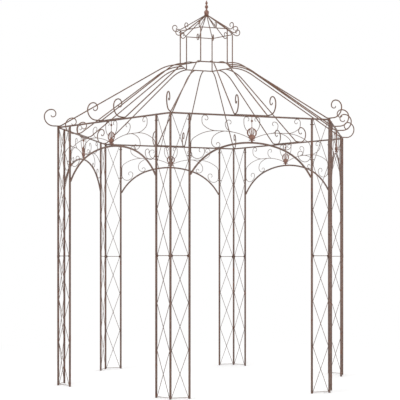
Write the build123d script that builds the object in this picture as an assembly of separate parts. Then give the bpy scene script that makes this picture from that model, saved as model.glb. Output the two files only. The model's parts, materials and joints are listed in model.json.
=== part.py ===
import math
import os
from build123d import *

# Hexagonal open gazebo of iron tube and rod, in millimetres, +Z up.
# The origin is on the ground at the centre of the hexagon.
# Six trellis posts carry six arches with scrollwork, and eighteen roof ribs rise
# from the eaves to a small lantern with its own ribs and a turned finial.

# Posts: a corner tube and two wing tubes, one along each neighbouring side
side_length = 1350.0        # between the centres of two neighbouring corner tubes
wing_width = 155.0          # corner tube to wing tube, centre to centre
tube_size = 18.0            # across the flats
post_height = 2238.0
wire_size = 5.0
crosses = 3                 # crossed wires one above the other in each section
tie_height = 3.5            # flat ties at the foot and at the splice
foot_lift = 9.0             # the foot ties stay clear of the ground by this much

# Eaves
rail_size = 12.0
seat_gap = 0.3              # between pieces that are bolted or hooked together

# Arches: two radii, meeting at the crown angle
arch_size = 15.0
arch_sag = 1.6
arch_drop = 207.0           # from the underside of the rail to the bar's centre line
arch_rise = 263.0
crown_angle = 19.2
spring_angle = 61.0

# Scrollwork in the spandrels, measured from the middle of the side outwards
scroll_size = 5.0
scroll_sag = 3.0            # how far a bar's straight lengths stay from the true curve
scroll_rise = 122.0         # from the crest of the long stem up to the rail
stem_crest = 232.0
stem_angle = 24.7
stem_level = 68.0
stem_shoulder = 109.0
shoulder_angle = 37.0
stem_drop = 65.0
foot_curl = [50.0, 62.0, 24.0, 21.0, 12.0]
outer_reach = 118.0
outer_climb = 74.0
outer_curl = [26.0, 24.0, 14.0, 11.0]
inner_start = 170.0
inner_curl = [62.0, 31.0, 18.0, 13.0]
hook_start = 215.0
hook_reach = 124.0
hook_fall = 90.0
hook_curl = [20.0, 16.0, 12.0]
bend_angle = 40.0

# Palmette on the crown of each arch: foot, collar and bulb under a domed fan of petals
palm_foot = 10.0
palm_foot_width = 15.0
palm_collar = 6.0
palm_collar_width = 42.0
palm_bulb_width = 52.0
palm_bulb_height = 42.0
palm_thickness = 16.0
dome_radius = 42.0
dome_rise = 15.0            # from the dome's lower edge to its widest level
dome_peak = 62.0            # and to its tip
dome_sink = 2.0             # how far the dome reaches down into the bulb
dome_thickness = 10.0
slit_width = 5.5
slit_offsets = [10.0, 24.0]
slit_levels = [6.0, 21.0, 42.0]     # foot, widest part and tip, above the dome's lower edge
slit_taper = 0.55                   # ends stand this much closer in than the widest part
rod_overlap = 6.0
bead_size = 14.0
bead_drop = 33.0            # below the rail
bracket_step = 20.0         # between the dome's flats, and from its widest level to the bracket
bracket_heading = 45.0
bracket_radius = 92.0
bracket_curl = [23.0, 20.0, 12.0]

# Roof ribs
rib_size = 10.0
rib_sag = 2.8
ring_size = 10.0
crown_radius = 248.0        # corners of the ring that carries the lantern
roof_rise = 598.0           # from the top of the posts to the middle of that ring
top_bend = 358.0
foot_bend = 60.0
rib_spread_top = 84.0       # between the two middle ribs of a side, at the ring
rib_spread_foot = 288.0     # and at the eaves
volute_run = 42.0
volute = [78.0, 64.0, 36.0, 28.0, 14.0]

# Lantern
lantern_rise = 304.0        # from the crown ring to the lantern's own ring
lantern_post = 10.0
lantern_bar = 8.0
lantern_sag = 2.2
lantern_peak = 166.0        # from the lantern's ring to where its ribs' centre lines would meet
lantern_overhang = 22.0
lantern_volute = [32.0, 23.0, 19.0, 13.0]

# Finial: a hub between the ribs, and the height and radius of each level above it
finial_hub = 18.0
hub_length = 24.0
finial_levels = [(0, 20), (12, 21), (28, 23), (37, 20), (47, 10), (55, 7), (64, 12), (76, 16), (87, 12),
                 (96, 7), (108, 12), (117, 9), (125, 4), (136, 1)]

corner_names = ["front", "right_front", "right_back", "back", "left_back", "left_front"]
side_names = ["front_right", "right", "back_right", "back_left", "left", "front_left"]
side_count = len(side_names)
step = 360.0 / side_count
first_corner = -90.0

corner_radius = side_length / (2 * math.sin(math.radians(step / 2)))
apothem = corner_radius * math.cos(math.radians(step / 2))
crown_apothem = crown_radius * math.cos(math.radians(step / 2))
bay_half = side_length / 2 - wing_width - tube_size / 2
splice_height = post_height / 2
rail_under = post_height - rail_size
arch_crown = rail_under - arch_drop
crown_height = post_height + roof_rise
lantern_height = crown_height + lantern_rise
lantern_apex = lantern_height + lantern_peak

side_plane = Plane(origin=(apothem, 0, 0), x_dir=(0, 1, 0), z_dir=(1, 0, 0))


# A bar bent in its plane. A move is (length,) or (radius, turn in degrees, left positive).
# Round stretches are made of short straight lengths that stay within the sag of the curve.
def bent_bar(start, heading, moves, size, sag):
    x, y = start
    angle = math.radians(heading)
    left = []
    right = []

    def add_edges():
        across = (math.sin(angle) * size / 2, math.cos(angle) * size / 2)
        left.append((x - across[0], y + across[1]))
        right.append((x + across[0], y - across[1]))

    add_edges()
    for move in moves:
        if len(move) == 1:
            x += move[0] * math.cos(angle)
            y += move[0] * math.sin(angle)
            add_edges()
            continue
        radius, turn = move
        bend = math.copysign(radius, turn)
        centre = (x - bend * math.sin(angle), y + bend * math.cos(angle))
        widest = 2 * math.degrees(math.acos(1 - min(sag / radius, 1)))
        count = max(1, round(abs(turn) / widest + 0.1))
        for _ in range(count):
            angle += math.radians(turn) / count
            x = centre[0] + bend * math.sin(angle)
            y = centre[1] - bend * math.cos(angle)
            add_edges()
    return Polygon(*left, *reversed(right), align=None)


# Two bends, one after the other, that cover a run and a rise and turn by the whole angle
def double_bend(run, rise, first_turn, whole_turn):
    a = math.radians(first_turn)
    b = math.radians(whole_turn)
    across = (math.sin(a), math.sin(b) - math.sin(a))
    up = (1 - math.cos(a), math.cos(a) - math.cos(b))
    scale = across[0] * up[1] - across[1] * up[0]
    first_radius = (run * up[1] - across[1] * rise) / scale
    second_radius = (across[0] * rise - run * up[0]) / scale
    return [(first_radius, first_turn), (second_radius, whole_turn - first_turn)]


# The longest run that two such bends can cover with the second no tighter than a radius
def flattest_run(rise, first_turn, tightest):
    a = math.radians(first_turn)
    first_radius = (rise - tightest * math.cos(a)) / (1 - math.cos(a))
    return first_radius * math.sin(a) + tightest * (1 - math.sin(a))


def turned(moves, sign):
    return [move if len(move) == 1 else (move[0], sign * move[1]) for move in moves]


def curl(radii, sign):
    return [(radius, sign * 90.0) for radius in radii]


def plate(plane, face, thickness):
    return extrude(plane * face, amount=thickness / 2, both=True)


def box_between(low, high):
    size = [b - a for a, b in zip(low, high)]
    middle = [(a + b) / 2 for a, b in zip(low, high)]
    return Pos(*middle) * Box(*size)


def hexagon(size):
    return RegularPolygon(size / 2, side_count, major_radius=False)


def hex_tube(x, y, low, high, size):
    return Pos(x, y, low) * extrude(Rot(0, 0, step / 2) * hexagon(size), amount=high - low)


# One wing of a post section: crossed wires between the middles of two bars
def wing_panel(bars):
    low = sum(bars[0]) / 2
    high = sum(bars[1]) / 2
    pitch = (high - low) / crosses
    clear = wing_width - tube_size
    slope = math.degrees(math.atan2(pitch, clear))
    wire = Rectangle(math.hypot(pitch, clear) + wire_size, wire_size)
    panel = None
    for bar_low, bar_high in bars:
        bar = Pos(wing_width / 2, (bar_low + bar_high) / 2) * Rectangle(clear + wire_size, bar_high - bar_low)
        panel = bar if panel is None else panel + bar
    for index in range(crosses):
        for tilt in (slope, -slope):
            panel += Pos(wing_width / 2, low + (index + 0.5) * pitch) * Rot(0, 0, tilt) * wire
    window = Rectangle(clear + wire_size, bars[1][1] - bars[0][0])
    return panel & Pos(wing_width / 2, (bars[0][0] + bars[1][1]) / 2) * window


# A post section at the corner that points along +X
def post_section(low, high, bars):
    section = hex_tube(corner_radius, 0, low, high, tube_size)
    for sign in (1, -1):
        away = math.radians(sign * (90 + step / 2))
        direction = (math.cos(away), math.sin(away), 0)
        section += hex_tube(corner_radius + wing_width * direction[0], wing_width * direction[1],
                            low, high, tube_size)
        plane = Plane(origin=(corner_radius, 0, 0), x_dir=direction,
                      z_dir=(direction[1], -direction[0], 0))
        section += plate(plane, wing_panel(bars), wire_size)
        if high == post_height:
            rail = Pos(wing_width / 2, post_height - rail_size / 2) * Rectangle(wing_width, rail_size)
            section += plate(plane, rail, rail_size)
    return section


def arch():
    bends = double_bend(bay_half, arch_rise, crown_angle, spring_angle)
    haunch = [bends[1], (bends[1][0], math.degrees(arch_size / bends[1][0]))]
    half = []
    for sign in (1, -1):
        start = (0, arch_crown)
        heading = 0 if sign > 0 else 180
        face = bent_bar(start, heading, turned([bends[0]] + haunch, -sign), arch_size, arch_sag)
        half.append(face)
    clear = bay_half - seat_gap
    window = Pos(0, arch_crown) * Rectangle(2 * clear, 4 * arch_rise)
    return plate(side_plane, (half[0] + half[1]) & window, arch_size)


# The centre and radius of the arch's haunch, which the hooked scroll rests on
def haunch_circle():
    bends = double_bend(bay_half, arch_rise, crown_angle, spring_angle)
    crown, haunch = bends[0][0], bends[1][0]
    a = math.radians(crown_angle)
    return ((crown - haunch) * math.sin(a), arch_crown - crown + (crown - haunch) * math.cos(a)), haunch


def scroll_bar(start, heading, moves):
    return bent_bar(start, heading, moves, scroll_size, scroll_sag)


# The scrollwork of one spandrel, to the right of the side's middle
def spandrel():
    crest = rail_under - scroll_rise
    under_rail = rail_under - seat_gap - scroll_size / 2
    beside_tube = bay_half - seat_gap - scroll_size / 2
    tilt = math.sin(math.radians(stem_angle))
    stem_from = palm_bulb_width / 2 + seat_gap + scroll_size / 2 * tilt
    stem_radius = (stem_crest - stem_from) / tilt
    stem_root = crest - stem_radius * (1 - math.cos(math.radians(stem_angle)))
    branch = stem_crest + stem_level

    # in a wide bay the stem runs level for longer, so that its shoulder stays a round bend
    reach = min(beside_tube - branch, flattest_run(stem_shoulder, shoulder_angle, foot_curl[0]))
    level = beside_tube - stem_crest - reach
    shoulder = double_bend(reach, stem_shoulder, shoulder_angle, 90)
    stem = [(stem_radius, -stem_angle), (level,)] + turned(shoulder, -1) + [(stem_drop,)]
    work = scroll_bar((stem_from, stem_root), stem_angle, stem + curl(foot_curl, -1))

    climb = double_bend(outer_reach, outer_climb, bend_angle, 90)
    climb += [(under_rail - crest - outer_climb - outer_curl[0],)]
    work += scroll_bar((branch, crest), 0, climb + curl(outer_curl, 1))

    lean = math.asin((stem_crest - inner_start) / stem_radius)
    root = (inner_start, crest - stem_radius * (1 - math.cos(lean)))
    first_turn = 90 - math.degrees(lean)
    inner = [(inner_curl[0], first_turn)] + curl(inner_curl[1:], 1)
    work += scroll_bar(root, math.degrees(lean), inner)

    # the hooked scroll falls from the stem and comes to rest on the arch
    fall = double_bend(hook_reach, hook_fall, bend_angle, 90)
    centre, haunch = haunch_circle()
    contact = haunch + arch_size / 2 + seat_gap + scroll_size / 2
    across = hook_start + hook_reach - centre[0]
    above = crest - hook_fall - centre[1]
    rest = (across * across + above * above - contact * contact) / (2 * (contact + across))
    past = 90 + math.degrees(math.atan2(across - rest, above))
    hook = turned(fall, -1) + [(rest, -past)] + curl(hook_curl, -1)
    work += scroll_bar((hook_start, crest), 0, hook)
    return work


# One of the two brackets that rise from a palmette's dome and curl in under the rail
def bracket():
    under_rail = rail_under - seat_gap - scroll_size / 2
    lift = math.radians(bracket_step)
    lean = math.radians(bracket_heading)
    out = dome_radius + seat_gap + scroll_size / 2 * math.sin(lean - lift)
    start = (out * math.cos(lift), dome_middle() + out * math.sin(lift))
    run = under_rail - start[1] - bracket_radius * math.cos(lean) - bracket_curl[0]
    moves = [(bracket_radius, 90 - bracket_heading), (run,)]
    return scroll_bar(start, bracket_heading, moves + curl(bracket_curl, 1))


def bulb_base():
    return arch_crown + arch_size / 2 + seat_gap + palm_foot + palm_collar


def dome_middle():
    return bulb_base() + palm_bulb_height - dome_sink + dome_rise


# A dome of flats that ends in a point, cut by slits that part its petals
def petal_dome():
    middle = dome_middle()
    low = middle - dome_rise
    flank = [(math.sqrt(dome_radius ** 2 - dome_rise ** 2), low)]
    for index in range(4):
        angle = math.radians(index * bracket_step)
        flank.append((dome_radius * math.cos(angle), middle + dome_radius * math.sin(angle)))
    tip = (0, low + dome_peak)
    dome = Polygon(*flank, tip, *[(-x, z) for x, z in reversed(flank)], align=None)
    foot, widest, top = slit_levels
    for offset in slit_offsets:
        for out in (offset, -offset):
            dome -= Polygon((out * slit_taper, low + foot), (out + slit_width / 2, low + widest),
                            (out * slit_taper, low + top), (out - slit_width / 2, low + widest), align=None)
    return dome


def palmette():
    base = bulb_base()
    top = base + palm_bulb_height
    half = palm_bulb_width / 2
    cheek = palm_bulb_height / 3
    foot = Pos(0, base - palm_collar - palm_foot / 2) * Rectangle(palm_foot_width, palm_foot)
    collar = Pos(0, base - palm_collar / 2) * Rectangle(palm_collar_width, palm_collar)
    bulb = Polygon((-half / 2, base), (half / 2, base), (half, base + cheek), (half, top - cheek),
                   (half / 2, top), (-half / 2, top), (-half, top - cheek), (-half, base + cheek), align=None)
    rod_from = dome_middle() - dome_rise + dome_peak - rod_overlap
    rod_to = rail_under - seat_gap
    rod = Pos(0, (rod_from + rod_to) / 2) * Rectangle(scroll_size, rod_to - rod_from)
    bead = Pos(0, rail_under - bead_drop) * Rot(0, 0, 45) * Rectangle(bead_size, bead_size)
    solid = plate(side_plane, foot + collar + bulb, palm_thickness)
    solid += plate(side_plane, petal_dome(), dome_thickness)
    return solid + plate(side_plane, rod + bead, scroll_size)


# The slope and length of the straight run between two bends that both end level
def level_ends(run, drop, bends):
    reach = math.hypot(run, bends - drop)
    slope = math.asin(bends / reach) - math.atan2(bends - drop, run)
    straight = (run - bends * math.sin(slope)) / math.cos(slope)
    return math.degrees(slope), straight


# A rib along a vertical plane, from one plan point to another, with a volute past its foot
def roof_rib(top, foot):
    dx, dy = foot[0] - top[0], foot[1] - top[1]
    foot_z = post_height + seat_gap + rib_size / 2
    slope, straight = level_ends(math.hypot(dx, dy), crown_height - foot_z, top_bend + foot_bend)
    moves = [(top_bend, -slope), (straight,), (foot_bend, slope), (volute_run,)]
    bar = bent_bar((0, crown_height), 0, moves + curl(volute, 1), rib_size, rib_sag)
    plane = Plane(origin=(top[0], top[1], 0), x_dir=(dx, dy, 0), z_dir=(dy, -dx, 0))
    return plate(plane, bar, rib_size)


# The two middle ribs of a side, joined by a foot bar that lies on the rail
def rib_pair():
    foot_z = post_height + seat_gap + rib_size / 2
    pair = box_between((apothem - rib_size / 2, -rib_spread_foot / 2, foot_z - rib_size / 2),
                       (apothem + rib_size / 2, rib_spread_foot / 2, foot_z + rib_size / 2))
    fan = math.atan2(rib_spread_foot - rib_spread_top, 2 * (apothem - crown_apothem))
    clear = seat_gap + rib_size / 2 * math.sin(fan)
    for sign in (1, -1):
        pair += roof_rib((crown_apothem + ring_size / 2 + clear, sign * rib_spread_top / 2),
                         (apothem, sign * rib_spread_foot / 2))
    return pair


# How far the outer corner of a ring lies from the axis
def ring_edge(size):
    return (crown_apothem + size / 2) / math.cos(math.radians(step / 2))


def hex_ring(radius, size, middle):
    flat = radius * math.cos(math.radians(step / 2))
    outer = hexagon(2 * flat + size)
    inner = hexagon(2 * flat - size)
    face = Rot(0, 0, step / 2) * (outer - inner)
    return Rot(0, 0, step / 2) * (Pos(0, 0, middle - size / 2) * extrude(face, amount=size))


# The pitch of a lantern rib that rests on the outer edge of the lantern's ring
def lantern_pitch(edge):
    drop = lantern_peak - lantern_bar / 2
    slant = math.acos((seat_gap + lantern_bar / 2) / math.hypot(drop, edge))
    return slant - math.atan2(edge, drop)


# Each rib butts against one flat of the finial's hub
def lantern_rib(edge):
    pitch = lantern_pitch(edge)
    slope = math.degrees(pitch)
    moves = [(edge / math.cos(pitch) + lantern_overhang,), (lantern_volute[0], slope)]
    bar = bent_bar((0, lantern_apex), -slope, moves + curl(lantern_volute, 1), lantern_bar, lantern_sag)
    beyond = finial_hub + seat_gap
    bar &= Pos(beyond + crown_radius, lantern_height) * Rectangle(2 * crown_radius, 2 * crown_radius)
    return plate(Plane(origin=(0, 0, 0), x_dir=(1, 0, 0), z_dir=(0, -1, 0)), bar, lantern_bar)


# A casting with twelve flats, as the overlap of six turned copies of its flat profile.
# Its hub fills the space between the ribs and its cup sits on their upper ends.
def finial():
    lean = lantern_pitch(ring_edge(lantern_bar))
    cup = lantern_apex - finial_hub * math.tan(lean) + lantern_bar / 2 / math.cos(lean) + seat_gap
    flank = [(finial_hub, cup - hub_length), (finial_hub, cup)]
    flank += [(radius, cup + height) for height, radius in finial_levels]
    profile = Polygon(*flank, *[(-x, z) for x, z in reversed(flank)], align=None)
    reach = 4 * max(radius for height, radius in finial_levels)
    slab = plate(Plane.XZ, profile, reach)
    casting = slab
    for index in range(1, side_count):
        casting &= spin(slab, index * step / 2)
    return casting


def spin(piece, angle):
    return Rot(0, 0, angle) * piece


def around(piece, first):
    return [spin(piece, first + step * index) for index in range(side_count)]


def main():
    os.makedirs("parts", exist_ok=True)
    nodes = {}

    lower = post_section(0, splice_height, [(foot_lift, foot_lift + tie_height),
                                            (splice_height - tie_height, splice_height)])
    upper = post_section(splice_height, post_height, [(splice_height, splice_height + tie_height),
                                                      (rail_under, post_height)])
    for name, low, high in zip(corner_names, around(lower, first_corner), around(upper, first_corner)):
        nodes[f"post_{name}_lower"] = low
        nodes[f"post_{name}_upper"] = high

    rail_half = bay_half - seat_gap
    rail = box_between((apothem - rail_size / 2, -rail_half, rail_under),
                       (apothem + rail_size / 2, rail_half, post_height))
    right_half = [plate(side_plane, spandrel(), scroll_size), plate(side_plane, bracket(), scroll_size)]
    scrolls = Compound(children=[*right_half, *[mirror(piece, Plane.XZ) for piece in right_half]])
    first_side = first_corner + step / 2
    for prefix, piece in (("arch", arch()), ("scrolls", scrolls), ("roof_ribs", rib_pair())):
        for name, copy in zip(side_names, around(piece, first_side)):
            nodes[f"{prefix}_{name}"] = copy

    nodes["palmettes"] = Compound(children=around(palmette(), first_side))
    nodes["eave_rails"] = Compound(children=around(rail, first_side))
    hip = roof_rib((ring_edge(ring_size) + seat_gap, 0), (corner_radius, 0))
    for name, copy in zip(corner_names, around(hip, first_corner)):
        nodes[f"hip_rib_{name}"] = copy

    nodes["crown_ring"] = spin(hex_ring(crown_radius, ring_size, crown_height), first_corner)
    post_low = crown_height + ring_size / 2 + seat_gap
    post_high = lantern_height - lantern_bar / 2 - seat_gap
    post = hex_tube(crown_radius, 0, post_low, post_high, lantern_post)
    nodes["lantern_posts"] = Compound(children=around(post, first_corner))
    nodes["lantern_ring"] = spin(hex_ring(crown_radius, lantern_bar, lantern_height), first_corner)
    corner_ribs = around(lantern_rib(ring_edge(lantern_bar)), first_corner)
    side_ribs = around(lantern_rib(crown_apothem + lantern_bar / 2), first_side)
    nodes["lantern_ribs"] = Compound(children=[*corner_ribs, *side_ribs])
    nodes["finial"] = finial()

    for name, piece in nodes.items():
        export_step(piece, f"parts/{name}.step")
    print(len(nodes), "nodes")


main()
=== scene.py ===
import json
import math
import bpy
from mathutils import Matrix, Vector


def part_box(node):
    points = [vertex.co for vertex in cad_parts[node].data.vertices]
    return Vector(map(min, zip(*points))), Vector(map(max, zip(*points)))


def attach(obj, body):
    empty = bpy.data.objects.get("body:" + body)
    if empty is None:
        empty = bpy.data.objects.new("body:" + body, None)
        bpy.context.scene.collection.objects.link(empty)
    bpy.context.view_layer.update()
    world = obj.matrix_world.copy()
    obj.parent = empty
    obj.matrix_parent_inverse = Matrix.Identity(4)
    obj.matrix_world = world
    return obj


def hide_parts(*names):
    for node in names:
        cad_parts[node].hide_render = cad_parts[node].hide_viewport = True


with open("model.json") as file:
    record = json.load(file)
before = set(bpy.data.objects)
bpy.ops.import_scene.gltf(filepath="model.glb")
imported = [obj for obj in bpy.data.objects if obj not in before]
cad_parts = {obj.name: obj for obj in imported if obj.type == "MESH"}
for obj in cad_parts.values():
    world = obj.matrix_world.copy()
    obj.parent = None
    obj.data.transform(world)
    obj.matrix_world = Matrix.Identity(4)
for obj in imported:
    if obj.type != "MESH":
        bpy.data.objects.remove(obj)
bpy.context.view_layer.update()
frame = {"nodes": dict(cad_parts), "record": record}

print("frame loaded:", len(frame["nodes"]), "nodes")

# every length is in metres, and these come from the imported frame
sideCount = 6
turnStep = math.tau / sideCount
firstCorner = -math.pi / 2
cornerNames = ["front", "right_front", "right_back", "back", "left_back", "left_front"]
sideNames = ["front_right", "right", "back_right", "back_left", "left", "front_left"]

cornerFoot = Vector(next(m for m in frame["record"]["mounts"] if m["name"] == "foot_front")["pos_m"])
cornerRadius = cornerFoot.length
apothem = cornerRadius * math.cos(turnStep / 2)
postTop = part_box("post_front_upper")[1][2]
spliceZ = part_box("post_front_lower")[1][2]
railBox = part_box("eave_rails")
railUnder = railBox[0][2]
railTop = railBox[1][2]
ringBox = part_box("crown_ring")
ringSize = ringBox[1][2] - ringBox[0][2]
ringZ = (ringBox[1][2] + ringBox[0][2]) / 2
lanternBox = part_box("lantern_ring")
lanternBar = lanternBox[1][2] - lanternBox[0][2]
lanternZ = (lanternBox[1][2] + lanternBox[0][2]) / 2
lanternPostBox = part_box("lantern_posts")
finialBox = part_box("finial")
crownApothem = lanternBox[1][0] - lanternBar / 2
crownRadius = crownApothem / math.cos(turnStep / 2)
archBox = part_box("arch_right")
archSize = archBox[1][0] - archBox[0][0]
archCrown = archBox[1][2] - archSize / 2
bayHalf = archBox[1][1]


def cornerTurn(index):
    return firstCorner + turnStep * index


def sideTurn(index):
    return firstCorner + turnStep * (index + 0.5)


# the paints: brown antique paint over iron, mottled, with rust coming through

def mixColour(tree, factor, first, second):
    # inputs 6 and 7 and output 2 are this node's colour sockets
    mix = tree.nodes.new("ShaderNodeMix")
    mix.data_type = "RGBA"
    tree.links.new(factor, mix.inputs["Factor"])
    for socket, value in ((mix.inputs[6], first), (mix.inputs[7], second)):
        if isinstance(value, tuple):
            socket.default_value = (*value, 1.0)
        else:
            tree.links.new(value, socket)
    return mix.outputs[2]


def mappedNoise(tree, coordinates, scale, stretch, detail=4.0, roughness=0.55):
    # noise whose middle range, given by stretch, is drawn out to run from 0 to 1
    low, high = stretch
    noise = tree.nodes.new("ShaderNodeTexNoise")
    noise.inputs["Scale"].default_value = scale
    noise.inputs["Detail"].default_value = detail
    noise.inputs["Roughness"].default_value = roughness
    tree.links.new(coordinates, noise.inputs["Vector"])
    ramp = tree.nodes.new("ShaderNodeMapRange")
    ramp.inputs["From Min"].default_value = low
    ramp.inputs["From Max"].default_value = high
    tree.links.new(noise.outputs["Fac"], ramp.inputs["Value"])
    return ramp.outputs["Result"]


def makePaint(name, look):
    material = bpy.data.materials.new(name)
    material.use_nodes = True
    tree = material.node_tree
    shader = tree.nodes["Principled BSDF"]
    coordinates = tree.nodes.new("ShaderNodeTexCoord").outputs["Object"]

    # cloudy change from one batch of paint to the next, then finer mottling
    clouds = mappedNoise(tree, coordinates, look["cloudScale"], look["cloudStretch"])
    mottle = mappedNoise(tree, coordinates, look["mottleScale"], look["mottleStretch"])
    rustStretch = (look["rustFrom"], look["rustFrom"] + look["rustEdge"])
    rust = mappedNoise(tree, coordinates, look["rustScale"], rustStretch)
    colour = mixColour(tree, clouds, look["dark"], look["light"])
    colour = mixColour(tree, mottle, colour, look["bronze"])
    rustTint = mixColour(tree, mottle, look["rustDark"], look["rustLight"])
    colour = mixColour(tree, rust, colour, rustTint)
    tree.links.new(colour, shader.inputs["Base Color"])

    roughness = tree.nodes.new("ShaderNodeMapRange")
    roughness.inputs["To Min"].default_value = look["smooth"]
    roughness.inputs["To Max"].default_value = look["rough"]
    tree.links.new(rust, roughness.inputs["Value"])
    tree.links.new(roughness.outputs["Result"], shader.inputs["Roughness"])

    # fine grain all over, and a crust where the rust is
    grain = mappedNoise(tree, coordinates, look["grainScale"], look["grainStretch"], detail=6.0)
    bumps = tree.nodes.new("ShaderNodeBump")
    bumps.inputs["Strength"].default_value = look["grainStrength"]
    bumps.inputs["Distance"].default_value = look["grainDepth"]
    tree.links.new(grain, bumps.inputs["Height"])
    crust = tree.nodes.new("ShaderNodeBump")
    crust.inputs["Strength"].default_value = look["crustStrength"]
    crust.inputs["Distance"].default_value = look["crustDepth"]
    tree.links.new(rust, crust.inputs["Height"])
    tree.links.new(bumps.outputs["Normal"], crust.inputs["Normal"])
    tree.links.new(crust.outputs["Normal"], shader.inputs["Normal"])
    shader.inputs["Metallic"].default_value = look["metallic"]
    shader.inputs["Specular IOR Level"].default_value = look["shine"]
    return material


ironPaint = {
    "dark": (0.095, 0.054, 0.042), "light": (0.152, 0.091, 0.071), "bronze": (0.18, 0.113, 0.088),
    "rustDark": (0.13, 0.054, 0.035), "rustLight": (0.21, 0.097, 0.06),
    "cloudScale": 3.0, "cloudStretch": (0.35, 0.65), "mottleScale": 45.0, "mottleStretch": (0.4, 0.72),
    "rustScale": 22.0, "rustFrom": 0.58, "rustEdge": 0.08, "crustStrength": 0.6, "crustDepth": 0.0008,
    "grainScale": 420.0, "grainStretch": (0.3, 0.7), "grainStrength": 0.5, "grainDepth": 0.0006,
    "smooth": 0.48, "rough": 0.8, "metallic": 0.15, "shine": 0.4,
}
postPaint = makePaint("postPaint", ironPaint)
archPaint = makePaint("archPaint", {**ironPaint, "rustFrom": 0.6})
scrollPaint = makePaint("scrollPaint", {**ironPaint, "mottleScale": 70.0, "rustFrom": 0.6})
roofPaint = makePaint("roofPaint", {
    **ironPaint, "dark": (0.102, 0.051, 0.034), "light": (0.165, 0.089, 0.06), "bronze": (0.19, 0.109, 0.073),
    "rustFrom": 0.57,
})
castingPaint = makePaint("castingPaint", {
    **ironPaint, "dark": (0.15, 0.068, 0.051), "light": (0.232, 0.114, 0.086), "bronze": (0.27, 0.155, 0.117),
    "rustDark": (0.15, 0.068, 0.045), "rustLight": (0.24, 0.12, 0.08), "rustFrom": 0.54,
    "grainScale": 260.0, "grainDepth": 0.001,
})
print("paints mixed")


# a bar laid along curves by Geometry Nodes: the curve's own radius is the bar's

def addSocket(tree, name, kind, value=None):
    socket = tree.interface.new_socket(name=name, in_out="INPUT", socket_type=kind)
    if value is not None:
        socket.default_value = value
    return socket


def makeBarTree():
    tree = bpy.data.node_groups.new("bentBars", "GeometryNodeTree")
    addSocket(tree, "Geometry", "NodeSocketGeometry")
    addSocket(tree, "Sides", "NodeSocketInt", 12)
    addSocket(tree, "Flatness", "NodeSocketFloat", 1.0)
    addSocket(tree, "Copies", "NodeSocketInt", 1)
    addSocket(tree, "Turn", "NodeSocketFloat", 0.0)
    addSocket(tree, "Paint", "NodeSocketMaterial")
    tree.interface.new_socket(name="Geometry", in_out="OUTPUT", socket_type="NodeSocketGeometry")
    entry = tree.nodes.new("NodeGroupInput")
    profile = tree.nodes.new("GeometryNodeCurvePrimitiveCircle")
    profile.inputs["Radius"].default_value = 1.0
    squash = tree.nodes.new("ShaderNodeCombineXYZ")
    squash.inputs["Y"].default_value = 1.0
    squash.inputs["Z"].default_value = 1.0
    flattened = tree.nodes.new("GeometryNodeTransform")
    sweep = tree.nodes.new("GeometryNodeCurveToMesh")
    sweep.inputs["Fill Caps"].default_value = True
    radius = tree.nodes.new("GeometryNodeInputRadius")
    smooth = tree.nodes.new("GeometryNodeSetShadeSmooth")
    line = tree.nodes.new("GeometryNodeMeshLine")
    line.inputs["Offset"].default_value = (0, 0, 0)
    index = tree.nodes.new("GeometryNodeInputIndex")
    share = tree.nodes.new("ShaderNodeMath")
    share.operation = "MULTIPLY_ADD"
    share.inputs[1].default_value = turnStep
    spin = tree.nodes.new("ShaderNodeCombineXYZ")
    place = tree.nodes.new("GeometryNodeInstanceOnPoints")
    real = tree.nodes.new("GeometryNodeRealizeInstances")
    paint = tree.nodes.new("GeometryNodeSetMaterial")
    out = tree.nodes.new("NodeGroupOutput")
    link = tree.links.new
    link(entry.outputs["Sides"], profile.inputs["Resolution"])
    link(entry.outputs["Flatness"], squash.inputs["X"])
    link(squash.outputs["Vector"], flattened.inputs["Scale"])
    link(profile.outputs["Curve"], flattened.inputs["Geometry"])
    link(entry.outputs["Geometry"], sweep.inputs["Curve"])
    link(flattened.outputs["Geometry"], sweep.inputs["Profile Curve"])
    link(radius.outputs["Radius"], sweep.inputs["Scale"])
    link(sweep.outputs["Mesh"], smooth.inputs["Geometry"])
    link(entry.outputs["Copies"], line.inputs["Count"])
    link(index.outputs["Index"], share.inputs[0])
    link(entry.outputs["Turn"], share.inputs[2])
    link(share.outputs["Value"], spin.inputs["Z"])
    link(line.outputs["Mesh"], place.inputs["Points"])
    link(smooth.outputs["Geometry"], place.inputs["Instance"])
    link(spin.outputs["Vector"], place.inputs["Rotation"])
    link(place.outputs["Instances"], real.inputs["Geometry"])
    link(real.outputs["Geometry"], paint.inputs["Geometry"])
    link(entry.outputs["Paint"], paint.inputs["Material"])
    link(paint.outputs["Geometry"], out.inputs["Geometry"])
    return tree


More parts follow.
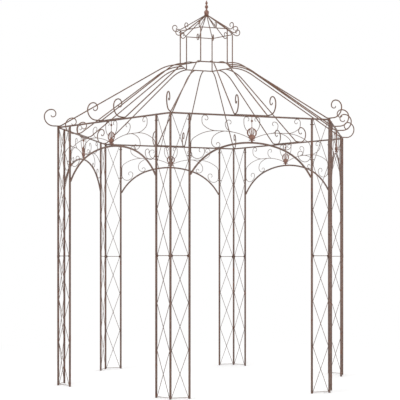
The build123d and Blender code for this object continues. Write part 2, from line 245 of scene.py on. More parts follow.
def makeDropTree():
    # small lumps of weld, each turned and squashed in its own way
    tree = bpy.data.node_groups.new("weldDrops", "GeometryNodeTree")
    addSocket(tree, "Geometry", "NodeSocketGeometry")
    addSocket(tree, "Drop Size", "NodeSocketFloat", 0.004)
    addSocket(tree, "Unevenness", "NodeSocketFloat", 0.25)
    addSocket(tree, "Seed", "NodeSocketInt", 7)
    addSocket(tree, "Paint", "NodeSocketMaterial")
    tree.interface.new_socket(name="Geometry", in_out="OUTPUT", socket_type="NodeSocketGeometry")
    entry = tree.nodes.new("NodeGroupInput")
    ball = tree.nodes.new("GeometryNodeMeshIcoSphere")
    ball.inputs["Subdivisions"].default_value = 2
    less = tree.nodes.new("ShaderNodeMath")
    less.operation = "SUBTRACT"
    less.inputs[0].default_value = 1.0
    more = tree.nodes.new("ShaderNodeMath")
    more.operation = "ADD"
    more.inputs[0].default_value = 1.0
    low = tree.nodes.new("ShaderNodeCombineXYZ")
    high = tree.nodes.new("ShaderNodeCombineXYZ")
    size = tree.nodes.new("FunctionNodeRandomValue")
    size.data_type = "FLOAT_VECTOR"
    turn = tree.nodes.new("FunctionNodeRandomValue")
    turn.data_type = "FLOAT_VECTOR"
    turn.inputs["Max"].default_value = (math.tau, math.tau, math.tau)
    place = tree.nodes.new("GeometryNodeInstanceOnPoints")
    real = tree.nodes.new("GeometryNodeRealizeInstances")
    smooth = tree.nodes.new("GeometryNodeSetShadeSmooth")
    paint = tree.nodes.new("GeometryNodeSetMaterial")
    out = tree.nodes.new("NodeGroupOutput")
    link = tree.links.new
    link(entry.outputs["Drop Size"], ball.inputs["Radius"])
    link(entry.outputs["Unevenness"], less.inputs[1])
    link(entry.outputs["Unevenness"], more.inputs[1])
    for axis in ("X", "Y", "Z"):
        link(less.outputs["Value"], low.inputs[axis])
        link(more.outputs["Value"], high.inputs[axis])
    link(low.outputs["Vector"], size.inputs["Min"])
    link(high.outputs["Vector"], size.inputs["Max"])
    link(entry.outputs["Seed"], size.inputs["Seed"])
    link(entry.outputs["Seed"], turn.inputs["Seed"])
    link(entry.outputs["Geometry"], place.inputs["Points"])
    link(ball.outputs["Mesh"], place.inputs["Instance"])
    link(size.outputs["Value"], place.inputs["Scale"])
    link(turn.outputs["Value"], place.inputs["Rotation"])
    link(place.outputs["Instances"], real.inputs["Geometry"])
    link(real.outputs["Geometry"], smooth.inputs["Geometry"])
    link(smooth.outputs["Geometry"], paint.inputs["Geometry"])
    link(entry.outputs["Paint"], paint.inputs["Material"])
    link(paint.outputs["Geometry"], out.inputs["Geometry"])
    return tree


barTree = makeBarTree()
dropTree = makeDropTree()


def grown(source, tree, settings):
    # runs the tree on a source object and returns a plain mesh
    modifier = source.modifiers.new(tree.name, "NODES")
    modifier.node_group = tree
    for item in tree.interface.items_tree:
        if item.in_out == "INPUT" and item.name in settings:
            modifier[item.identifier] = settings[item.name]
    view = bpy.context.evaluated_depsgraph_get()
    mesh = bpy.data.meshes.new_from_object(source.evaluated_get(view), depsgraph=view)
    source.modifiers.remove(modifier)
    return mesh


def barSource(lines):
    # a line is a list of points with radii, and whether it closes on itself
    curve = bpy.data.curves.new("barLines", "CURVE")
    curve.dimensions = "3D"
    for points, closed in lines:
        spline = curve.splines.new("POLY")
        spline.points.add(len(points) - 1)
        for target, (place, radius) in zip(spline.points, points):
            target.co = (*place, 1.0)
            target.radius = radius
        spline.use_cyclic_u = closed
    source = bpy.data.objects.new("barLines", curve)
    bpy.context.collection.objects.link(source)
    return source


def barMesh(lines, paint, turn=0.0, sides=12, copies=1, flatness=1.0):
    source = barSource(lines)
    settings = {"Sides": sides, "Flatness": flatness, "Copies": copies, "Turn": turn, "Paint": paint}
    mesh = grown(source, barTree, settings)
    bpy.data.objects.remove(source)
    return mesh


def dropMesh(places, size, paint, seed, turn):
    # weld beads at the places of a piece that faces +X, turned with it
    spin = Matrix.Rotation(turn, 4, "Z")
    cloud = bpy.data.meshes.new("dropPlaces")
    cloud.from_pydata([tuple(spin @ place) for place in places], [], [])
    source = bpy.data.objects.new("dropPlaces", cloud)
    bpy.context.collection.objects.link(source)
    mesh = grown(source, dropTree, {"Drop Size": size, "Seed": seed, "Paint": paint})
    bpy.data.objects.remove(source)
    return mesh


def finishPiece(name, meshes, nodes):
    # joins the meshes into one piece that stands for the CAD nodes
    parts = []
    for mesh in meshes:
        part = bpy.data.objects.new(name, mesh)
        bpy.context.collection.objects.link(part)
        parts.append(part)
    if len(parts) > 1:
        with bpy.context.temp_override(active_object=parts[0], selected_editable_objects=parts):
            bpy.ops.object.join()
    piece = parts[0]
    piece.name = name
    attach(piece, "root")
    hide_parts(*nodes)
    return piece


# paths: a start, a heading and a list of runs (length,) and bends (radius, turn in degrees)

def walkPath(start, heading, moves, fineness=6.0):
    x, y = start
    angle = math.radians(heading)
    points = [(x, y)]
    for move in moves:
        if len(move) == 1:
            x += move[0] * math.cos(angle)
            y += move[0] * math.sin(angle)
            points.append((x, y))
            continue
        radius, turn = move
        bend = math.copysign(radius, turn)
        middle = (x - bend * math.sin(angle), y + bend * math.cos(angle))
        count = max(2, math.ceil(abs(turn) / fineness))
        for _ in range(count):
            angle += math.radians(turn) / count
            x = middle[0] + bend * math.sin(angle)
            y = middle[1] - bend * math.cos(angle)
            points.append((x, y))
    return points


def curl(radii, sign):
    return [(radius, sign * 90.0) for radius in radii]


def turned(moves, sign):
    return [move if len(move) == 1 else (move[0], sign * move[1]) for move in moves]


def doubleBend(run, rise, firstTurn, wholeTurn):
    # two bends that cover a run and a rise and turn by the whole angle
    a = math.radians(firstTurn)
    b = math.radians(wholeTurn)
    across = (math.sin(a), math.sin(b) - math.sin(a))
    up = (1 - math.cos(a), math.cos(a) - math.cos(b))
    scale = across[0] * up[1] - across[1] * up[0]
    first = (run * up[1] - across[1] * rise) / scale
    second = (across[0] * rise - run * up[0]) / scale
    return [(first, firstTurn), (second, wholeTurn - firstTurn)]


def levelEnds(run, drop, bends):
    # the slope and straight length between two bends that leave both ends level
    reach = math.hypot(run, bends - drop)
    slope = math.asin(bends / reach) - math.atan2(bends - drop, run)
    return math.degrees(slope), (run - bends * math.sin(slope)) / math.cos(slope)


# a round end, in shares: where its middle ring sits, what that ring loses, and the least tip
endMake = {"ringIn": 0.35, "ringLoss": 0.3, "least": 0.3}


def roundEnd(end, neighbour, radius, cap):
    # three rings that round off a bar, from its tip inwards
    tip = Vector(end)
    inwards = (Vector(neighbour) - tip).normalized()
    return [
        (tuple(tip), max(radius - cap, radius * endMake["least"])),
        (tuple(tip + inwards * cap * endMake["ringIn"]), radius - cap * endMake["ringLoss"]),
        (tuple(tip + inwards * cap), radius),
    ]


def softEnded(path, radius, endLength=0.0, endShare=1.0, roundness=0.35):
    # gives each point its radius: round ends, and a drawn-out tail where asked
    lengths = [0.0]
    for a, b in zip(path, path[1:]):
        lengths.append(lengths[-1] + math.dist(a, b))
    total = lengths[-1]
    points = []
    for place, along in zip(path, lengths):
        share = 1.0
        if endLength:
            share = 1 - (1 - endShare) * max(0.0, 1 - (total - along) / endLength)
        points.append((place, radius * share))
    cap = radius * roundness
    start = roundEnd(path[0], path[1], radius, cap)
    tail = roundEnd(path[-1], path[-2], points[-1][1], cap)
    return start + points[1:-1] + tail[::-1]


def onSide(path):
    # the plane through the middle of the side that faces +X
    return [(apothem, u, z) for u, z in path]


# posts: three tubes in a V, crossed wires, ties, and the bolts of the splice
cornerPlace = Vector((cornerRadius, 0, 0))
upwards = Vector((0, 0, 1))
postMake = {
    "wing": 0.155, "tube": 0.009, "wire": 0.0023, "wireOffset": 0.0017, "crosses": 3, "drop": 0.0031,
    "tie": 0.0014, "tieSink": 0.002, "footTie": 0.01075, "footTieBar": 0.0022, "topBar": 0.007,
    "sleeve": 0.0102, "sleeveHalf": 0.016, "boltIn": 0.0155, "sideBolts": (2.185, 1.900), "seed": 11,
}
# levels along a bolt are measured from the faces that it holds together
boltMake = {
    "washer": 0.0056, "washerTo": 0.0012, "nut": 0.0045, "nutTo": 0.0062, "nutTip": 0.0068,
    "nutTipShare": 0.85, "headTo": 0.0048, "headTip": 0.0056, "headTipShare": 0.8,
    "shank": 0.0024, "shankTo": 0.004, "threadTo": 0.010, "threadTip": 0.0105, "threadTipShare": 0.7,
}


def wingDirection(sign):
    away = sign * (math.pi / 2 + turnStep / 2)
    return Vector((math.cos(away), math.sin(away), 0))


def straightBar(a, b, radius):
    return (softEnded([tuple(a), tuple(b)], radius), False)


def boltLines(place, along, gap):
    # head, washers, nut and thread end of a bolt that holds what lies between the washers
    b = boltMake

    def stack(levels):
        return ([(tuple(place + along * level), radius) for level, radius in levels], False)

    face = gap + b["washerTo"]
    washers = [stack([(side * gap, b["washer"]), (side * face, b["washer"])]) for side in (1, -1)]
    shank = stack([
        (-gap - b["threadTip"], b["shank"] * b["threadTipShare"]), (-gap - b["threadTo"], b["shank"]),
        (gap + b["shankTo"], b["shank"]),
    ])
    head = stack([
        (face, b["nut"]), (gap + b["headTo"], b["nut"]), (gap + b["headTip"], b["nut"] * b["headTipShare"]),
    ])
    nut = stack([
        (-face, b["nut"]), (-gap - b["nutTo"], b["nut"]), (-gap - b["nutTip"], b["nut"] * b["nutTipShare"]),
    ])
    return washers + [shank], [head, nut]


def postSection(low, high, ties, tieRadii):
    # one section of a post: its tubes, its wires and ties, and the places of its weld beads
    p = postMake
    bottom = upwards * low
    top = upwards * high
    tubes = [straightBar(cornerPlace + bottom, cornerPlace + top, p["tube"])]
    wires = []
    drops = []
    pitch = (ties[1] - ties[0]) / p["crosses"]
    for sign in (1, -1):
        along = wingDirection(sign)
        outward = Vector((-along.y, along.x, 0)) * p["wireOffset"]
        far = cornerPlace + along * p["wing"]
        tubes.append(straightBar(far + bottom, far + top, p["tube"]))
        near = cornerPlace + along * p["tube"]
        end = far - along * p["tube"]
        for index in range(p["crosses"]):
            base = upwards * (ties[0] + index * pitch)
            over = base + upwards * pitch
            wires.append(straightBar(near + base + outward, end + over + outward, p["wire"]))
            wires.append(straightBar(near + over - outward, end + base - outward, p["wire"]))
            drops.append((near + end) / 2 + (base + over) / 2)
        for index in range(p["crosses"] + 1):
            height = upwards * (ties[0] + index * pitch)
            drops += [near + height, end + height]
        sink = along * p["tieSink"]
        for level, radius in zip(ties, tieRadii):
            height = upwards * level
            wires.append(straightBar(near - sink + height, end + sink + height, radius))
    return tubes, wires, drops


def makePosts():
    p = postMake
    splice = upwards * spliceZ
    lowTies = (p["footTie"], spliceZ - p["tie"])
    highTies = (spliceZ + p["tie"], railTop - p["topBar"])
    sections = {
        "lower": postSection(0.0, spliceZ, lowTies, (p["footTieBar"], p["tie"])),
        "upper": postSection(spliceZ, postTop, highTies, (p["tie"], p["topBar"])),
    }
    half = upwards * p["sleeveHalf"]
    sleeve = straightBar(cornerPlace + splice - half, cornerPlace + splice + half, p["sleeve"])
    plain = []
    hexed = []
    for sign in (1, -1):
        along = wingDirection(sign)
        far = cornerPlace + along * p["wing"]
        boltIn = along * p["boltIn"]
        bolts = [(place + splice, upwards, 2 * p["tie"]) for place in (far - boltIn, cornerPlace + boltIn)]
        bolts += [(far + upwards * z, along, p["tube"]) for z in p["sideBolts"]]
        for bolt in bolts:
            washers, heads = boltLines(*bolt)
            plain += washers
            hexed += heads
    for index, corner in enumerate(cornerNames):
        turn = cornerTurn(index)
        for which, (tubes, wires, drops) in sections.items():
            extra = [sleeve] if which == "upper" else []
            meshes = [
                barMesh(tubes + extra, postPaint, turn, sides=20),
                barMesh(wires, postPaint, turn, sides=8),
                dropMesh(drops, p["drop"], postPaint, p["seed"] + index, turn),
            ]
            if which == "upper":
                meshes.append(barMesh(plain, postPaint, turn, sides=16))
                meshes.append(barMesh(hexed, postPaint, turn, sides=6))
            node = f"post_{corner}_{which}"
            finishPiece(f"{node}_dressed", meshes, [node])


makePosts()
print("posts made")


# arches and rails between the posts
archMake = {
    "rise": 0.263, "crownAngle": 19.2, "springAngle": 61.0, "fineness": 2.5, "roundness": 0.2,
    "rail": 0.007, "drop": 0.006, "seed": 31,
}


def archBends():
    return doubleBend(bayHalf, archMake["rise"], archMake["crownAngle"], archMake["springAngle"])


def makeArches():
    m = archMake
    right = walkPath((0, archCrown), 0, turned(archBends(), -1), m["fineness"])
    left = walkPath((0, archCrown), 180, turned(archBends(), 1), m["fineness"])
    whole = left[::-1] + right[1:]
    springZ = whole[-1][1]
    line = (softEnded(onSide(whole), archSize / 2, roundness=m["roundness"]), False)
    railZ = railTop - m["rail"]
    rail = straightBar((apothem, -bayHalf, railZ), (apothem, bayHalf, railZ), m["rail"])
    drops = [Vector((apothem, sign * bayHalf, springZ)) for sign in (1, -1)]
    for index, side in enumerate(sideNames):
        turn = sideTurn(index)
        meshes = [
            barMesh([line], archPaint, turn, sides=16),
            dropMesh(drops, m["drop"], archPaint, m["seed"] + index, turn),
        ]
        finishPiece(f"arch_{side}_dressed", meshes, [f"arch_{side}"])
    rails = barMesh([rail], archPaint, sideTurn(0), sides=14, copies=sideCount)
    finishPiece("eave_rails_dressed", [rails], ["eave_rails"])


makeArches()
print("arches and rails made")


# scrollwork of the spandrels, the same moves as the solids but smooth and round
scrollMake = {
    "radius": 0.0025, "gap": 0.0003, "rise": 0.122, "crest": 0.232, "stemAngle": 24.7, "level": 0.068,
    "shoulder": 0.109, "shoulderAngle": 37.0, "drop": 0.065, "foot": [0.050, 0.062, 0.024, 0.021, 0.012],
    "outerReach": 0.118, "outerClimb": 0.074, "outer": [0.026, 0.024, 0.014, 0.011],
    "innerStart": 0.170, "inner": [0.062, 0.031, 0.018, 0.013],
    "hookStart": 0.215, "hookReach": 0.124, "hookFall": 0.090, "hook": [0.020, 0.016, 0.012], "bend": 40.0,
    "bracketAngle": 20.0, "bracketHeading": 45.0, "bracketRadius": 0.092, "bracket": [0.023, 0.020, 0.012],
    "tail": 0.05, "tailShare": 0.8, "weld": 0.0034, "seed": 51,
}
palmMake = {
    # the scrollwork ends on bulbSeat, which is the solid bulb's radius
    "foot": 0.010, "footRadius": 0.0075, "collar": 0.006, "collarRadius": 0.0265, "collarEdge": 0.0005,
    "collarRound": 0.002, "bulb": 0.042, "bulbSeat": 0.026, "bulbRadius": 0.028,
    # heights above the arch or above the collar, and shares of the radius
    "footLevels": [(0.0, 1.1), (0.002, 1.15), (0.007, 1.0), (0.009, 1.2)],
    "bulbLevels": [(0.001, 0.46), (0.004, 0.46), (0.006, 0.72), (0.010, 0.9), (0.016, 1.0), (0.024, 1.0),
                   (0.031, 0.9), (0.036, 0.76), (0.040, 0.52), (0.042, 0.3)],
    "dome": 0.042, "domeRise": 0.015, "domePeak": 0.062, "domeSink": 0.002, "flatness": 0.5,
    "leaf": 0.0057, "leafSteps": 18, "leafLeast": 0.0006, "tipOut": 0.002, "tipDrop": 0.002,
    # outer petals: where they leave the dome's circle, in degrees, and their share of steps along it
    "petalFrom": -46.0, "petalTurn": 116.0, "petalShare": 0.86,
    "innerSink": 0.002, "innerOut": 0.42, "innerWidth": 0.62, "middleWidth": 0.9,
    # start and span in half turns of a sine, and the power it is raised to
    "bow": (0.12, 0.86, 0.8), "swell": (0.2, 0.78, 0.7),
    "vein": 0.0009, "veinOut": 0.95,
    "rod": 0.0025, "rodSink": 0.006, "rodFoot": 0.0026, "beadDrop": 0.033,
    "beadLevels": [(-0.011, 0.0025), (-0.007, 0.006), (-0.003, 0.0085), (0.0, 0.0092), (0.003, 0.0085),
                   (0.007, 0.006), (0.011, 0.0025)],
}
palmBase = archCrown + archSize / 2 + scrollMake["gap"]
domeLow = palmBase + palmMake["foot"] + palmMake["collar"] + palmMake["bulb"] - palmMake["domeSink"]
domeMiddle = domeLow + palmMake["domeRise"]


def haunchCircle():
    (crown, _), (haunch, _) = archBends()
    a = math.radians(archMake["crownAngle"])
    middle = ((crown - haunch) * math.sin(a), archCrown - crown + (crown - haunch) * math.cos(a))
    return middle, haunch


def spandrelPaths():
    s = scrollMake
    crest = railUnder - s["rise"]
    underRail = railUnder - s["gap"] - s["radius"]
    besideTube = bayHalf - s["radius"]
    tilt = math.sin(math.radians(s["stemAngle"]))
    stemFrom = palmMake["bulbSeat"] + s["gap"] + s["radius"] * tilt
    stemRadius = (s["crest"] - stemFrom) / tilt
    root = (stemFrom, crest - stemRadius * (1 - math.cos(math.radians(s["stemAngle"]))))
    branch = s["crest"] + s["level"]
    shoulder = doubleBend(besideTube - branch, s["shoulder"], s["shoulderAngle"], 90)
    moves = [(stemRadius, -s["stemAngle"]), (s["level"],)] + turned(shoulder, -1) + [(s["drop"],)]
    paths = [walkPath(root, s["stemAngle"], moves + curl(s["foot"], -1))]

    climb = doubleBend(s["outerReach"], s["outerClimb"], s["bend"], 90)
    climb.append((underRail - crest - s["outerClimb"] - s["outer"][0],))
    paths.append(walkPath((branch, crest), 0, climb + curl(s["outer"], 1)))

    lean = math.asin((s["crest"] - s["innerStart"]) / stemRadius)
    start = (s["innerStart"], crest - stemRadius * (1 - math.cos(lean)))
    inner = [(s["inner"][0], 90 - math.degrees(lean))] + curl(s["inner"][1:], 1)
    paths.append(walkPath(start, math.degrees(lean), inner))

    fall = doubleBend(s["hookReach"], s["hookFall"], s["bend"], 90)
    centre, haunch = haunchCircle()
    contact = haunch + archSize / 2 + s["gap"] + s["radius"]
    across = s["hookStart"] + s["hookReach"] - centre[0]
    above = crest - s["hookFall"] - centre[1]
    rest = (across * across + above * above - contact * contact) / (2 * (contact + across))
    past = 90 + math.degrees(math.atan2(across - rest, above))
    hook = turned(fall, -1) + [(rest, -past)] + curl(s["hook"], -1)
    paths.append(walkPath((s["hookStart"], crest), 0, hook))

    # one of the two brackets that leave the palmette's dome and curl in under the rail
    lift = math.radians(s["bracketAngle"])
    heading = math.radians(s["bracketHeading"])
    out = palmMake["dome"] + s["gap"] + s["radius"] * math.sin(heading - lift)
    base = (out * math.cos(lift), domeMiddle + out * math.sin(lift))
    run = underRail - base[1] - s["bracketRadius"] * math.cos(heading) - s["bracket"][0]
    moves = [(s["bracketRadius"], 90 - s["bracketHeading"]), (run,)] + curl(s["bracket"], 1)
    paths.append(walkPath(base, s["bracketHeading"], moves))
    welds = [root, (branch, crest), start, (s["hookStart"], crest), base, (besideTube, crest - s["shoulder"])]
    return paths, welds


def makeScrolls():
    s = scrollMake
    paths, welds = spandrelPaths()
    lines = []
    for sign in (1, -1):
        for path in paths:
            side = onSide([(sign * u, z) for u, z in path])
            lines.append((softEnded(side, s["radius"], s["tail"], s["tailShare"]), False))
    places = [Vector((apothem, sign * u, z)) for sign in (1, -1) for u, z in welds]
    for index, side in enumerate(sideNames):
        turn = sideTurn(index)
        meshes = [
            barMesh(lines, scrollPaint, turn, sides=10),
            dropMesh(places, s["weld"], scrollPaint, s["seed"] + index, turn),
        ]
        finishPiece(f"scrolls_{side}_dressed", meshes, [f"scrolls_{side}"])


makeScrolls()
print("scrollwork made")


# palmettes: turned foot and bulb, petals that close to a point, and the rod with its bead
def turnedStem(levels):
    return ([((apothem, 0.0, z), radius) for z, radius in levels], False)


def palmetteBody():
    p = palmMake
    collarZ = palmBase + p["foot"]
    bulbZ = collarZ + p["collar"]
    edge = p["collarEdge"]
    collar = p["collarRadius"]
    foot = [(palmBase + height, p["footRadius"] * share) for height, share in p["footLevels"]]
    plate = [
        (collarZ - edge, collar - p["collarRound"]), (collarZ, collar), (bulbZ, collar),
        (bulbZ + edge, collar - p["collarRound"]),
    ]
    bulb = [(bulbZ + height, p["bulbRadius"] * share) for height, share in p["bulbLevels"]]
    return turnedStem(foot + plate + bulb)


def outerPetal(sign):
    # out from the bulb's shoulder, round the dome, and in again to the tip
    p = palmMake
    tipZ = domeLow + p["domePeak"] - p["tipDrop"]
    reach = p["dome"] - p["leaf"]
    path = []
    for k in range(p["leafSteps"] + 1):
        t = k / p["leafSteps"]
        angle = math.radians(p["petalFrom"] + p["petalTurn"] * min(1.0, t / p["petalShare"]))
        u = reach * math.cos(angle)
        z = domeMiddle + reach * math.sin(angle)
        inwards = max(0.0, (t - p["petalShare"]) / (1 - p["petalShare"]))
        u += (p["tipOut"] - u) * inwards
        z += (tipZ - z) * inwards
        path.append((sign * u, z))
    return path


def innerPetal(sign, out):
    # from inside the bulb straight up to the tip, bowed outwards
    p = palmMake
    bowFrom, bowSpan, fullness = p["bow"]
    lowZ = domeLow - p["innerSink"]
    tipZ = domeLow + p["domePeak"] - p["tipDrop"]
    path = []
    for k in range(p["leafSteps"] + 1):
        t = k / p["leafSteps"]
        u = p["dome"] * out * math.sin(math.pi * (bowFrom + bowSpan * t)) ** fullness
        path.append((sign * u, lowZ + (tipZ - lowZ) * t))
    return path


def petalLines():
    # each petal is a flat bar that swells and narrows, with a vein on both faces
    p = palmMake
    swellFrom, swellSpan, fullness = p["swell"]
    petals = [(outerPetal(sign), 1.0) for sign in (1, -1)]
    petals += [(innerPetal(sign, p["innerOut"]), p["innerWidth"]) for sign in (1, -1)]
    petals.append((innerPetal(1, 0.0), p["middleWidth"]))
    lines = []
    veins = []
    for path, width in petals:
        widest = p["leaf"] * width
        points = []
        for k, (u, z) in enumerate(path):
            swell = math.sin(math.pi * min(1.0, swellFrom + swellSpan * k / p["leafSteps"])) ** fullness
            points.append(((apothem, u, z), widest * swell + p["leafLeast"]))
        lines.append((points, False))
        for face in (1, -1):
            out = face * widest * p["flatness"] * p["veinOut"]
            vein = []
            for (x, y, z), radius in points[2:-1]:
                vein.append(((x + out * min(1.0, radius / widest), y, z), p["vein"]))
            veins.append((vein, False))
    return lines, veins


def makePalmettes():
    p = palmMake
    petals, veins = petalLines()
    beadZ = railUnder - p["beadDrop"]
    bead = [(beadZ + height, radius) for height, radius in p["beadLevels"]]
    rodFoot = (domeLow + p["domePeak"] - p["rodSink"], p["rodFoot"])
    rod = turnedStem([rodFoot] + bead + [(railUnder - scrollMake["gap"], p["rod"])])
    turn = sideTurn(0)
    flat = p["flatness"]
    meshes = [
        barMesh([palmetteBody()], castingPaint, turn, sides=24, copies=sideCount, flatness=flat),
        barMesh(petals, castingPaint, turn, sides=12, copies=sideCount, flatness=flat),
        barMesh(veins, castingPaint, turn, sides=6, copies=sideCount),
        barMesh([rod], castingPaint, turn, sides=14, copies=sideCount),
    ]
    finishPiece("palmettes_dressed", meshes, ["palmettes"])


makePalmettes()
print("palmettes made")


# roof ribs: level at the crown ring, bent down, level again over the eaves, then the volute
ribMake = {
    "radius": 0.005, "gap": 0.0003, "topBend": 0.358, "footBend": 0.060, "run": 0.042, "footBar": 0.0028,
    "volute": [0.078, 0.064, 0.036, 0.028, 0.014], "fineness": 5.0, "tail": 0.12, "tailShare": 0.75,
    "spreadTop": 0.084, "spreadFoot": 0.288, "weld": 0.0058, "hipSeed": 71, "pairSeed": 81,
}
ribFootZ = postTop + ribMake["gap"] + ribMake["radius"]


def ribLine(top, foot):
    r = ribMake
    top = Vector(top)
    foot = Vector(foot)
    along = (foot - top).normalized()
    slope, straight = levelEnds((foot - top).length, ringZ - ribFootZ, r["topBend"] + r["footBend"])
    moves = [(r["topBend"], -slope), (straight,), (r["footBend"], slope), (r["run"],)]
    path = walkPath((0, ringZ), 0, moves + curl(r["volute"], 1), r["fineness"])
    places = [(top.x + along.x * u, top.y + along.y * u, z) for u, z in path]
    return (softEnded(places, r["radius"], r["tail"], r["tailShare"]), False)


def makeRoof():
    r = ribMake
    halfTop = r["spreadTop"] / 2
    halfFoot = r["spreadFoot"] / 2
    fan = math.atan2(r["spreadFoot"] - r["spreadTop"], 2 * (apothem - crownApothem))
    ringSide = crownApothem + ringSize / 2
    ringEdge = ringSide / math.cos(turnStep / 2)
    sideStart = ringSide + r["gap"] + r["radius"] * math.sin(fan)
    hip = ribLine((ringEdge + r["gap"], 0), (cornerRadius, 0))
    pair = [ribLine((sideStart, sign * halfTop), (apothem, sign * halfFoot)) for sign in (1, -1)]
    barZ = postTop + r["gap"] + r["footBar"]
    pair.append(straightBar((apothem, -halfFoot, barZ), (apothem, halfFoot, barZ), r["footBar"]))
    hipDrops = [Vector((ringEdge, 0, ringZ)), Vector((cornerRadius, 0, ribFootZ - r["radius"]))]
    pairDrops = []
    for sign in (1, -1):
        pairDrops.append(Vector((ringSide, sign * halfTop, ringZ)))
        pairDrops.append(Vector((apothem, sign * halfFoot, ribFootZ)))
    for index, corner in enumerate(cornerNames):
        turn = cornerTurn(index)
        meshes = [
            barMesh([hip], roofPaint, turn, sides=12),
            dropMesh(hipDrops, r["weld"], roofPaint, r["hipSeed"] + index, turn),
        ]
        finishPiece(f"hip_rib_{corner}_dressed", meshes, [f"hip_rib_{corner}"])
    for index, side in enumerate(sideNames):
        turn = sideTurn(index)
        meshes = [
            barMesh(pair, roofPaint, turn, sides=12),
            dropMesh(pairDrops, r["weld"], roofPaint, r["pairSeed"] + index, turn),
        ]
        finishPiece(f"roof_ribs_{side}_dressed", meshes, [f"roof_ribs_{side}"])


makeRoof()
print("roof ribs made")


# crown ring and lantern
ringMake = {"cornerLength": 0.012, "cornerSteps": 4}


def ringLine(radius, z, thickness):
    # a hexagon with rounded corners, which closes on itself
    steps = ringMake["cornerSteps"]
    corners = []
    for index in range(sideCount):
        angle = index * turnStep
        corners.append(Vector((radius * math.cos(angle), radius * math.sin(angle), z)))
    points = []
    for index, corner in enumerate(corners):
        before = corners[index - 1]
        after = corners[(index + 1) % sideCount]
        entry = corner + (before - corner).normalized() * ringMake["cornerLength"]
        leave = corner + (after - corner).normalized() * ringMake["cornerLength"]
        for k in range(steps + 1):
            t = k / steps
            place = entry * (1 - t) ** 2 + corner * 2 * t * (1 - t) + leave * t ** 2
            points.append((tuple(place), thickness / 2))
    return (points, True)


lanternMake = {
    "gap": 0.0003, "post": 0.005, "rib": 0.004, "peak": 0.166, "overhang": 0.022,
    "volute": [0.032, 0.023, 0.019, 0.013], "fineness": 7.0, "tail": 0.06, "tailShare": 0.75,
    "hub": 0.018, "hubSink": 0.001,
}


def lanternRibLine(edge, turn):
    m = lanternMake
    drop = m["peak"] - lanternBar / 2
    apex = lanternZ + m["peak"]
    pitch = math.acos((m["gap"] + m["rib"]) / math.hypot(drop, edge)) - math.atan2(edge, drop)
    slope = math.degrees(pitch)
    inside = m["hub"] - m["hubSink"]
    start = (inside, apex - inside * math.tan(pitch))
    moves = [((edge - inside) / math.cos(pitch) + m["overhang"],), (m["volute"][0], slope)]
    path = walkPath(start, -slope, moves + curl(m["volute"], 1), m["fineness"])
    places = [(u * math.cos(turn), u * math.sin(turn), z) for u, z in path]
    return (softEnded(places, m["rib"], m["tail"], m["tailShare"]), False)


def makeLantern():
    m = lanternMake
    crown = barMesh([ringLine(crownRadius, ringZ, ringSize)], roofPaint, firstCorner, sides=14)
    finishPiece("crown_ring_dressed", [crown], ["crown_ring"])
    upper = barMesh([ringLine(crownRadius, lanternZ, lanternBar)], roofPaint, firstCorner, sides=12)
    finishPiece("lantern_ring_dressed", [upper], ["lantern_ring"])
    low = lanternPostBox[0][2]
    high = lanternPostBox[1][2]
    post = straightBar((crownRadius, 0, low), (crownRadius, 0, high), m["post"])
    posts = barMesh([post], roofPaint, firstCorner, sides=14, copies=sideCount)
    finishPiece("lantern_posts_dressed", [posts], ["lantern_posts"])
    sideEdge = crownApothem + lanternBar / 2
    ribs = [lanternRibLine(sideEdge / math.cos(turnStep / 2), 0.0), lanternRibLine(sideEdge, turnStep / 2)]
    ribMesh = barMesh(ribs, roofPaint, firstCorner, sides=10, copies=sideCount)
    finishPiece("lantern_ribs_dressed", [ribMesh], ["lantern_ribs"])


makeLantern()


# finial, turned, as heights over the hub and radii; the hub's own levels are shares of its radius
finialMake = {
    "hub": 0.018, "hubHeight": 0.024, "hubLevels": [(0.009, 0.55), (0.011, 0.82), (0.014, 1.0), (0.023, 1.0)],
    "cup": [(0.0, 0.0195), (0.003, 0.0205), (0.006, 0.019), (0.012, 0.0198), (0.020, 0.0218), (0.027, 0.023),
            (0.031, 0.023), (0.037, 0.0196), (0.042, 0.0142), (0.047, 0.0095)],
    "neck": [(0.052, 0.0068), (0.056, 0.0068), (0.0585, 0.010), (0.061, 0.0078)],
    "ball": [(0.066, 0.0128), (0.071, 0.0153), (0.076, 0.016), (0.081, 0.0151), (0.087, 0.0112)],
    "bud": [(0.093, 0.0066), (0.098, 0.0066), (0.1015, 0.0096), (0.106, 0.0117), (0.110, 0.012),
            (0.116, 0.0096), (0.123, 0.0058)],
    # measured from the very top
    "point": [(-0.005, 0.0026), (0.0, 0.0008)],
}


def makeFinial():
    f = finialMake
    low = finialBox[0][2]
    high = finialBox[1][2]
    base = low + f["hubHeight"]
    levels = [(low + height, f["hub"] * share) for height, share in f["hubLevels"]]
    for part in ("cup", "neck", "ball", "bud"):
        levels += [(base + height, radius) for height, radius in f[part]]
    levels += [(high + height, radius) for height, radius in f["point"]]
    line = ([((0.0, 0.0, z), radius) for z, radius in levels], False)
    finishPiece("finial_dressed", [barMesh([line], castingPaint, sides=28)], ["finial"])


makeFinial()
print("lantern and finial made")


# floor, light and camera
studio = {
    "floorSize": 30.0, "floorColour": (0.96, 0.96, 0.96), "floorRoughness": 0.9,
    "whiteFrom": 2.2, "whiteTo": 4.2,
    "cameraPlace": (1.93433, -9.11029, 1.09107), "cameraTurn": 12.3505, "lens": 92.578, "sensor": 36.0,
    "shiftY": 0.148, "sky": 0.75, "lampSize": 4.0, "lampAim": (0, 0, 1.5),
    "lamps": {
        "key": ((-4.0, -5.0, 6.5), 260.0),
        "fill": ((6.0, -3.0, 3.5), 120.0),
        "back": ((1.0, 6.0, 6.0), 120.0),
    },
}


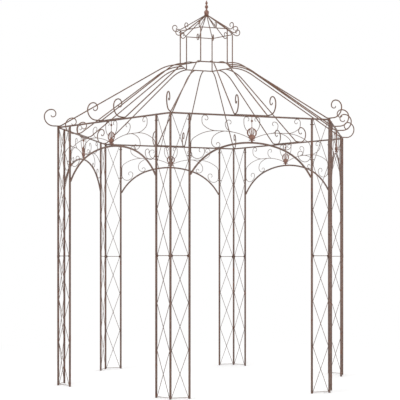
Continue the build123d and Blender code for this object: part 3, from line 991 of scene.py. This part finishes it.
def shownPlainly(tree):
    # 1 where the camera sees the surface itself, or its reflection, or sees it through glass
    seen = tree.nodes.new("ShaderNodeLightPath")
    mirrored = tree.nodes.new("ShaderNodeMath")
    mirrored.operation = "MAXIMUM"
    throughGlass = tree.nodes.new("ShaderNodeMath")
    throughGlass.operation = "MAXIMUM"
    tree.links.new(seen.outputs["Is Camera Ray"], mirrored.inputs[0])
    tree.links.new(seen.outputs["Is Glossy Ray"], mirrored.inputs[1])
    tree.links.new(mirrored.outputs["Value"], throughGlass.inputs[0])
    tree.links.new(seen.outputs["Is Transmission Ray"], throughGlass.inputs[1])
    return throughGlass.outputs["Value"]


def makeFloor():
    # pale floor that keeps the shadow near the gazebo and fades to white further out
    half = studio["floorSize"] / 2
    mesh = bpy.data.meshes.new("floor")
    corners = [(-half, -half, 0), (half, -half, 0), (half, half, 0), (-half, half, 0)]
    mesh.from_pydata(corners, [], [(0, 1, 2, 3)])
    floor = bpy.data.objects.new("floor", mesh)
    bpy.context.collection.objects.link(floor)
    material = bpy.data.materials.new("floorWhite")
    material.use_nodes = True
    tree = material.node_tree
    shader = tree.nodes["Principled BSDF"]
    shader.inputs["Base Color"].default_value = (*studio["floorColour"], 1.0)
    shader.inputs["Roughness"].default_value = studio["floorRoughness"]
    glow = tree.nodes.new("ShaderNodeEmission")
    place = tree.nodes.new("ShaderNodeTexCoord")
    far = tree.nodes.new("ShaderNodeVectorMath")
    far.operation = "LENGTH"
    fade = tree.nodes.new("ShaderNodeMapRange")
    fade.interpolation_type = "SMOOTHSTEP"
    fade.inputs["From Min"].default_value = studio["whiteFrom"]
    fade.inputs["From Max"].default_value = studio["whiteTo"]
    share = tree.nodes.new("ShaderNodeMath")
    share.operation = "MULTIPLY"
    mix = tree.nodes.new("ShaderNodeMixShader")
    link = tree.links.new
    link(place.outputs["Object"], far.inputs[0])
    link(far.outputs["Value"], fade.inputs["Value"])
    link(shownPlainly(tree), share.inputs[0])
    link(fade.outputs["Result"], share.inputs[1])
    link(share.outputs["Value"], mix.inputs["Fac"])
    link(shader.outputs["BSDF"], mix.inputs[1])
    link(glow.outputs["Emission"], mix.inputs[2])
    link(mix.outputs["Shader"], tree.nodes["Material Output"].inputs["Surface"])
    mesh.materials.append(material)


def makeLights():
    for name, (place, power) in studio["lamps"].items():
        lamp = bpy.data.lights.new(name, "AREA")
        lamp.shape = "SQUARE"
        lamp.size = studio["lampSize"]
        lamp.energy = power
        holder = bpy.data.objects.new(name, lamp)
        holder.location = place
        aim = Vector(studio["lampAim"]) - Vector(place)
        holder.rotation_euler = aim.to_track_quat("-Z", "Y").to_euler()
        bpy.context.collection.objects.link(holder)


def makeSky():
    # soft white light all round, and plain white where the camera looks past the floor
    world = bpy.data.worlds.new("studioSky")
    world.use_nodes = True
    tree = world.node_tree
    soft = tree.nodes["Background"]
    soft.inputs["Color"].default_value = (1.0, 1.0, 1.0, 1.0)
    soft.inputs["Strength"].default_value = studio["sky"]
    white = tree.nodes.new("ShaderNodeBackground")
    white.inputs["Color"].default_value = (1.0, 1.0, 1.0, 1.0)
    white.inputs["Strength"].default_value = 1.0
    mix = tree.nodes.new("ShaderNodeMixShader")
    link = tree.links.new
    link(shownPlainly(tree), mix.inputs["Fac"])
    link(soft.outputs["Background"], mix.inputs[1])
    link(white.outputs["Background"], mix.inputs[2])
    link(mix.outputs["Shader"], tree.nodes["World Output"].inputs["Surface"])
    bpy.context.scene.world = world


def makeCamera():
    camera = bpy.data.cameras.new("camera")
    camera.lens = studio["lens"]
    camera.sensor_width = studio["sensor"]
    camera.shift_y = studio["shiftY"]
    holder = bpy.data.objects.new("camera", camera)
    holder.location = studio["cameraPlace"]
    holder.rotation_euler = (math.pi / 2, 0.0, math.radians(studio["cameraTurn"]))
    bpy.context.collection.objects.link(holder)
    bpy.context.scene.camera = holder


makeFloor()
makeLights()
makeSky()
makeCamera()
bpy.context.scene.view_settings.view_transform = "Standard"
print("studio ready")
